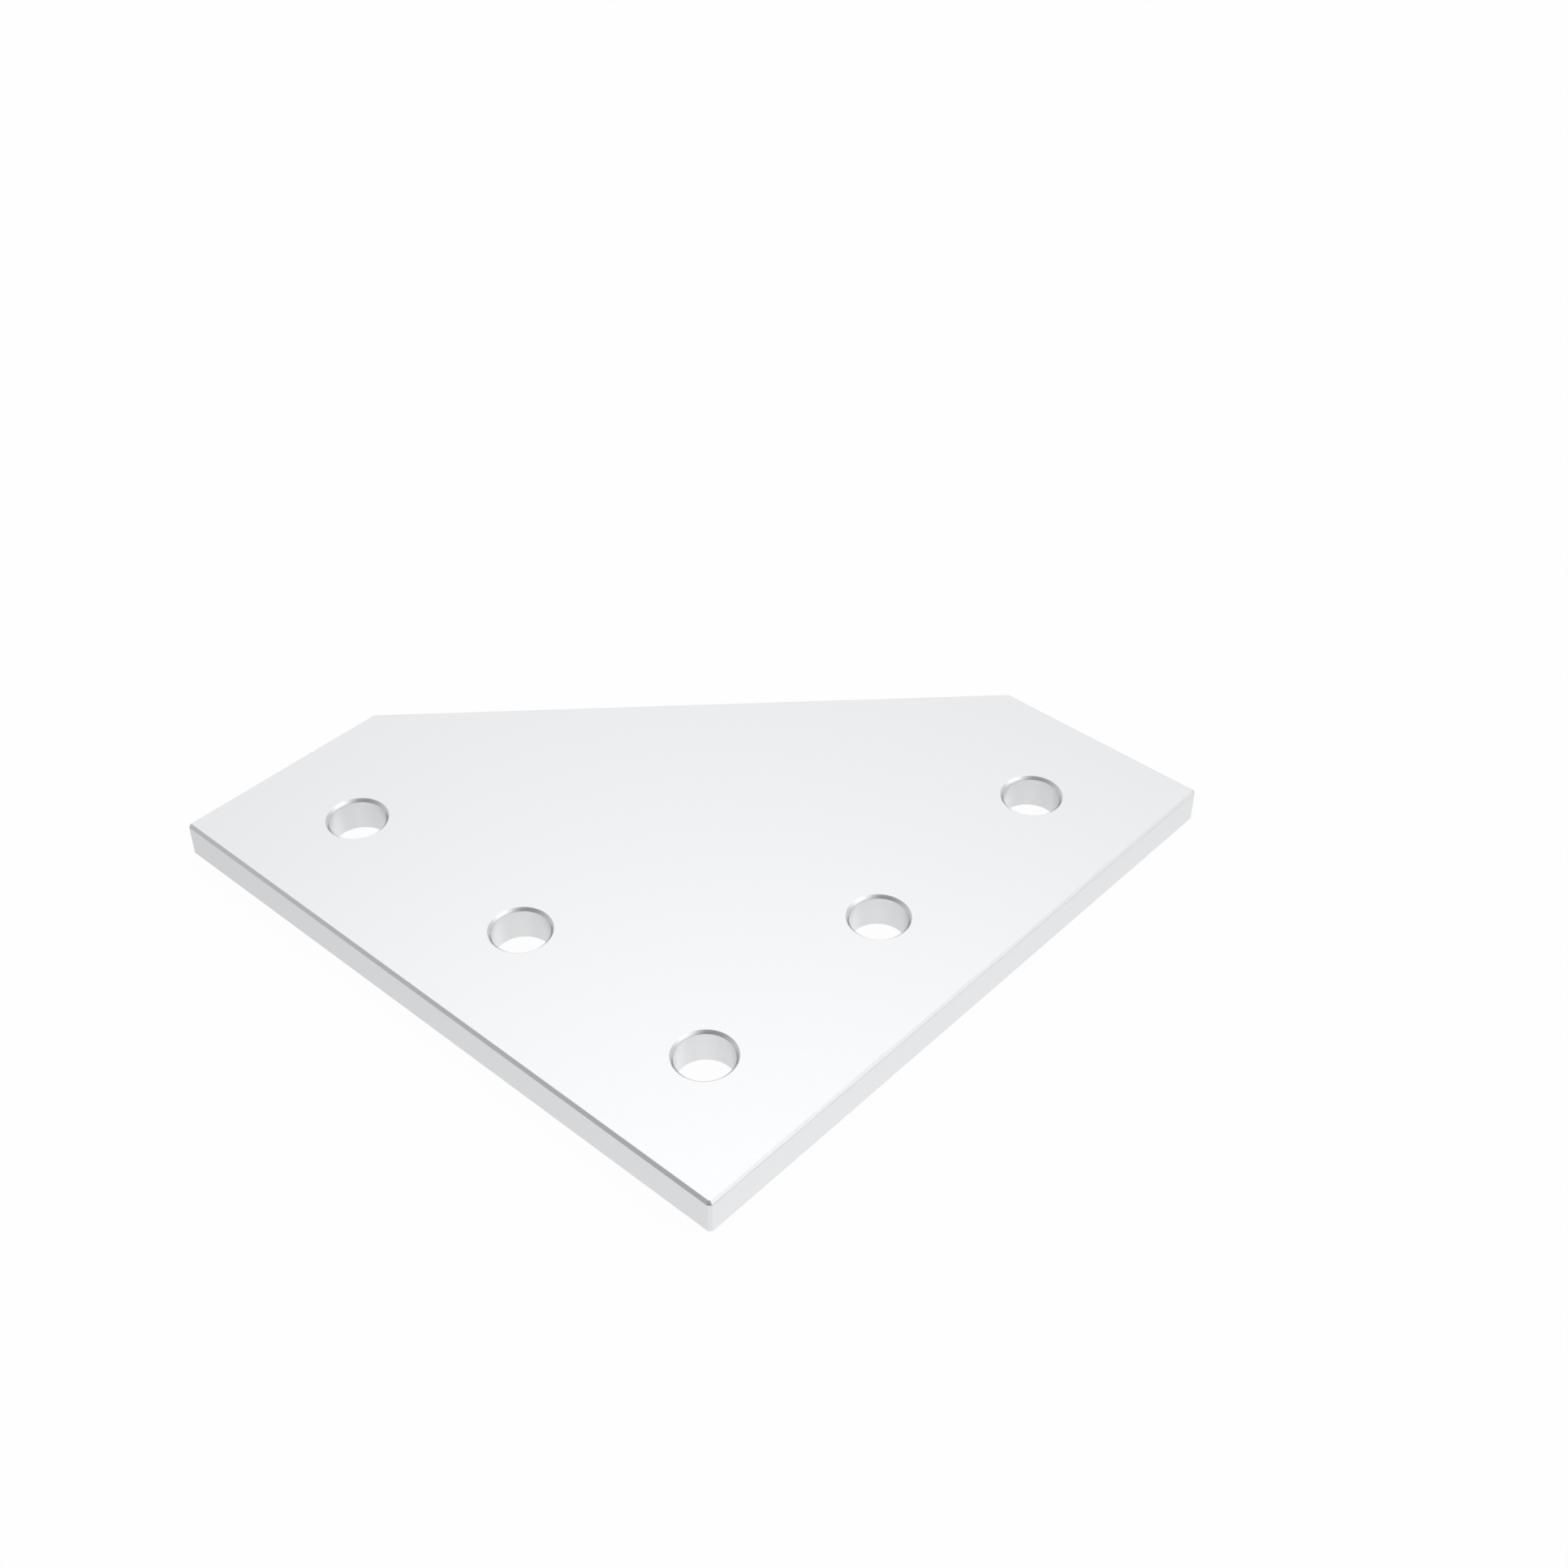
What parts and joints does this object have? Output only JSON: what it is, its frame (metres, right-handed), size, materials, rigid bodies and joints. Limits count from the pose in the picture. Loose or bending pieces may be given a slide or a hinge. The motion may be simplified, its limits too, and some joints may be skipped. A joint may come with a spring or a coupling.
{
  "type": "extrusion joining plate",
  "caption": "Flat right-angle joining plate for T-slot extrusion, with bolt holes along both arms, a slanting brace edge between the arm ends and chamfered front edges.",
  "frame": {"origin": "axis of the corner bolt hole, at the back face that lies on the extrusions", "axes": "+X along one arm, +Y along the other arm, +Z out of the chamfered front face"},
  "size_m": [0.1198, 0.1198, 0.0063],
  "materials": {
    "anodised_aluminium": "clear anodised, satin faces with brighter machined chamfers and bores"
  },
  "bodies": {
    "root": {"joining_plate": "anodised_aluminium"}
  },
  "joints": []
}
